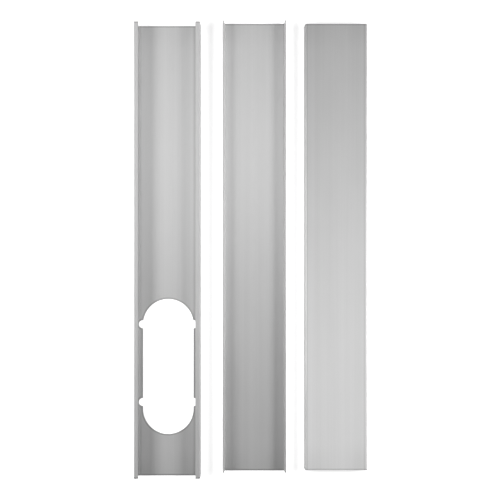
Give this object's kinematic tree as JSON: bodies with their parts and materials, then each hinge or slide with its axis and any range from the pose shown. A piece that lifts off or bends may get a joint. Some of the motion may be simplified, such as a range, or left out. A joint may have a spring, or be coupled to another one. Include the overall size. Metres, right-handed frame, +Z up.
{
  "type": "window seal kit",
  "caption": "Window seal kit for a portable air conditioner: a channel plate with an opening for the exhaust hose, and slide plates that extend it to fill the gap beside a sash.",
  "frame": {"origin": "on the surface that the plates lie on, under the middle of the outline that all three cover", "axes": "+X across the plates, from the hose plate to the lower slide plate; +Y along them, from the end with the hose opening to the other; +Z up, out of the hose plate's channel"},
  "size_m": [0.347, 0.6784, 0.018],
  "materials": {
    "smooth_pvc": "satin extruded PVC with faint lengthwise die lines",
    "grained_pvc": "fine matt grain"
  },
  "bodies": {
    "hose_plate": {"hose_plate": "smooth_pvc"},
    "upper_slide_plate": {"upper_slide_plate": "smooth_pvc"},
    "lower_slide_plate": {"lower_slide_plate": "grained_pvc"}
  },
  "joints": [
    {"name": "upper_plate_slide", "type": "slide", "parent": "hose_plate", "child": "upper_slide_plate", "axis": [0, 1, 0], "range_m": [0, 0.605]},
    {"name": "lower_plate_slide", "type": "slide", "parent": "hose_plate", "child": "lower_slide_plate", "axis": [0, -1, 0], "range_m": [0, 0.61]}
  ]
}
